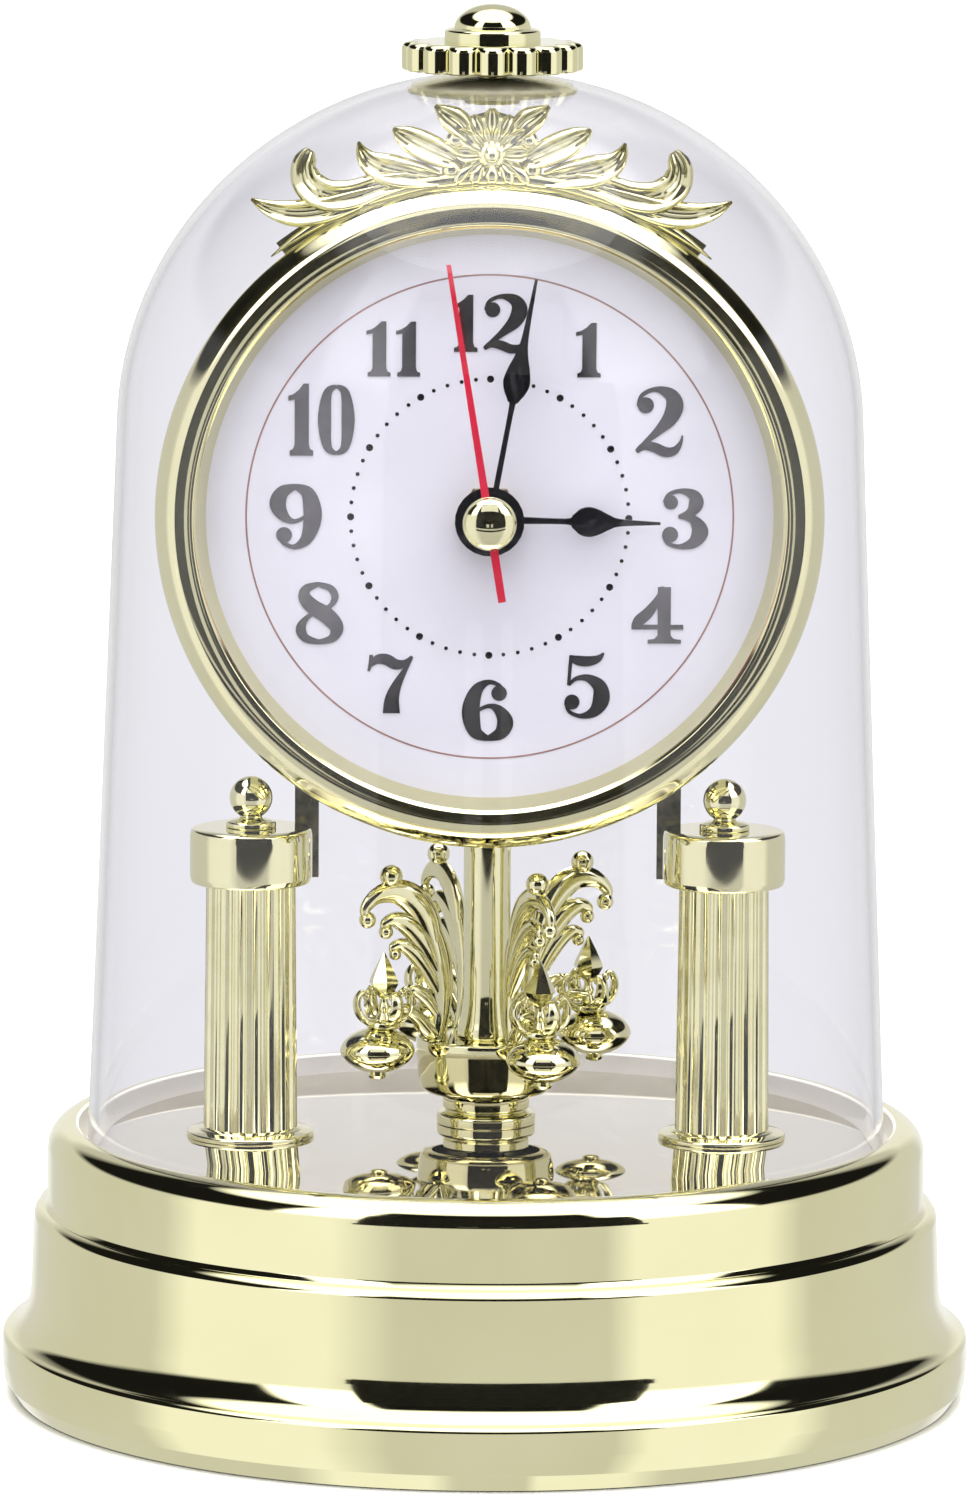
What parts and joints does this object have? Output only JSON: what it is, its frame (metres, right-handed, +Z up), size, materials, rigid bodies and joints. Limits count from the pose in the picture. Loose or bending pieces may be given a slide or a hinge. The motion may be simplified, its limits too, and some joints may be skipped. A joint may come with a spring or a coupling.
{
  "type": "anniversary clock",
  "caption": "Battery anniversary clock: dome over a stepped base, dial head on two fluted columns, turning pendulum with ornaments.",
  "frame": {"origin": "centre of the base's underside, on the surface the clock stands on", "axes": "+X to the right as seen from the front, +Y to the back, +Z up; the dial faces -Y"},
  "size_m": [0.15, 0.15, 0.2156],
  "materials": {
    "gold_plate": "polished pale gold plating",
    "mirror_deck": "pale gold mirror",
    "aged_brass": "satin",
    "turned_brass": "turned",
    "zinc_steel": "bright zinc",
    "coil_wire": "enamelled copper wire",
    "black_plastic": "moulded, fine texture",
    "wheel_plastic": "moulded, smooth",
    "cell_sleeve": "shrink sleeve",
    "circuit_board": "solder mask",
    "foot_rubber": "matt",
    "dial_enamel": "smooth satin enamel",
    "black_enamel": "gloss",
    "red_enamel": "gloss",
    "clear_glass": "clear, polished"
  },
  "bodies": {
    "frame": {"base_shell": "gold_plate", "pedestal": "gold_plate", "column_left": "gold_plate", "column_right": "gold_plate", "capital_left": "gold_plate", "capital_right": "gold_plate", "cap_nuts": "gold_plate", "head_case": "gold_plate", "bezel": "gold_plate", "crest": "gold_plate", "deck_plate": "mirror_deck", "bracket_left": "aged_brass", "bracket_right": "aged_brass", "guide_bush": "turned_brass", "shaft_nut": "turned_brass", "bottom_screws": "zinc_steel", "tie_rods": "zinc_steel", "deck_nuts": "zinc_steel", "bracket_screws": "zinc_steel", "pivot_pin": "zinc_steel", "base_contacts": "zinc_steel", "movement_contacts": "zinc_steel", "stator": "zinc_steel", "drive_coil": "coil_wire", "motor_coil": "coil_wire", "bottom_cover": "black_plastic", "movement_housing": "black_plastic", "movement_cover": "black_plastic", "middle_plate": "wheel_plastic", "base_battery": "cell_sleeve", "movement_battery": "cell_sleeve", "drive_board": "circuit_board", "movement_board": "circuit_board", "foot_pads": "foot_rubber", "dial": "dial_enamel"},
    "dome": {"dome": "clear_glass", "finial": "gold_plate", "finial_nut": "aged_brass"},
    "battery_door": {"base_battery_door": "black_plastic"},
    "pendulum": {"pendulum_rod": "gold_plate", "hub_cup": "gold_plate", "drive_magnets": "zinc_steel", "arm_1": "gold_plate", "arm_2": "gold_plate", "arm_3": "gold_plate", "arm_4": "gold_plate", "pumpkin_balls": "gold_plate", "bud_finials": "gold_plate"},
    "second": {"second_wheel": "wheel_plastic", "second_hand": "red_enamel"},
    "rotor": {"rotor": "zinc_steel"},
    "intermediate": {"intermediate_wheel": "wheel_plastic"},
    "third": {"third_wheel": "wheel_plastic"},
    "center": {"center_wheel": "wheel_plastic"},
    "minute": {"cannon_pinion": "turned_brass", "minute_hand": "black_enamel"},
    "setting": {"setting_wheel": "wheel_plastic"},
    "hour": {"hour_wheel": "wheel_plastic", "hour_hand": "black_enamel"}
  },
  "joints": [
    {"name": "dome_lift", "type": "slide", "parent": "frame", "child": "dome", "axis": [0, 0, 1], "range_m": [0, 0.17]},
    {"name": "battery_door_slide", "type": "slide", "parent": "frame", "child": "battery_door", "axis": [1, 0, 0], "range_m": [0, 0.012]},
    {"name": "pendulum_spin", "type": "hinge", "parent": "frame", "child": "pendulum", "pos_m": [0, 0.012, 0.06], "axis": [0, 0, 1], "continuous": true},
    {"name": "second_spin", "type": "hinge", "parent": "frame", "child": "second", "pos_m": [0, 0, 0.138], "axis": [0, 1, 0], "continuous": true},
    {"name": "rotor_spin", "type": "hinge", "parent": "frame", "child": "rotor", "pos_m": [0.0111, 0, 0.1478], "axis": [0, 1, 0], "continuous": true},
    {"name": "intermediate_spin", "type": "hinge", "parent": "frame", "child": "intermediate", "pos_m": [0.0042, 0, 0.14527], "axis": [0, 1, 0], "continuous": true},
    {"name": "third_spin", "type": "hinge", "parent": "frame", "child": "third", "pos_m": [-0.01224, 0, 0.138], "axis": [0, 1, 0], "continuous": true},
    {"name": "center_spin", "type": "hinge", "parent": "frame", "child": "center", "pos_m": [0, 0, 0.138], "axis": [0, 1, 0], "continuous": true},
    {"name": "minute_spin", "type": "hinge", "parent": "frame", "child": "minute", "pos_m": [0, 0, 0.138], "axis": [0, 1, 0], "continuous": true},
    {"name": "setting_spin", "type": "hinge", "parent": "frame", "child": "setting", "pos_m": [0.013, 0, 0.138], "axis": [0, 1, 0], "continuous": true},
    {"name": "hour_spin", "type": "hinge", "parent": "frame", "child": "hour", "pos_m": [0, 0, 0.138], "axis": [0, 1, 0], "continuous": true}
  ],
  "couplings": [
    {"joint": "intermediate_spin", "follows": "second_spin", "ratio": -5},
    {"joint": "rotor_spin", "follows": "second_spin", "ratio": 30},
    {"joint": "third_spin", "follows": "second_spin", "ratio": -0.13333},
    {"joint": "center_spin", "follows": "second_spin", "ratio": 0.016667},
    {"joint": "setting_spin", "follows": "minute_spin", "ratio": -0.33333},
    {"joint": "hour_spin", "follows": "minute_spin", "ratio": 0.083333}
  ]
}
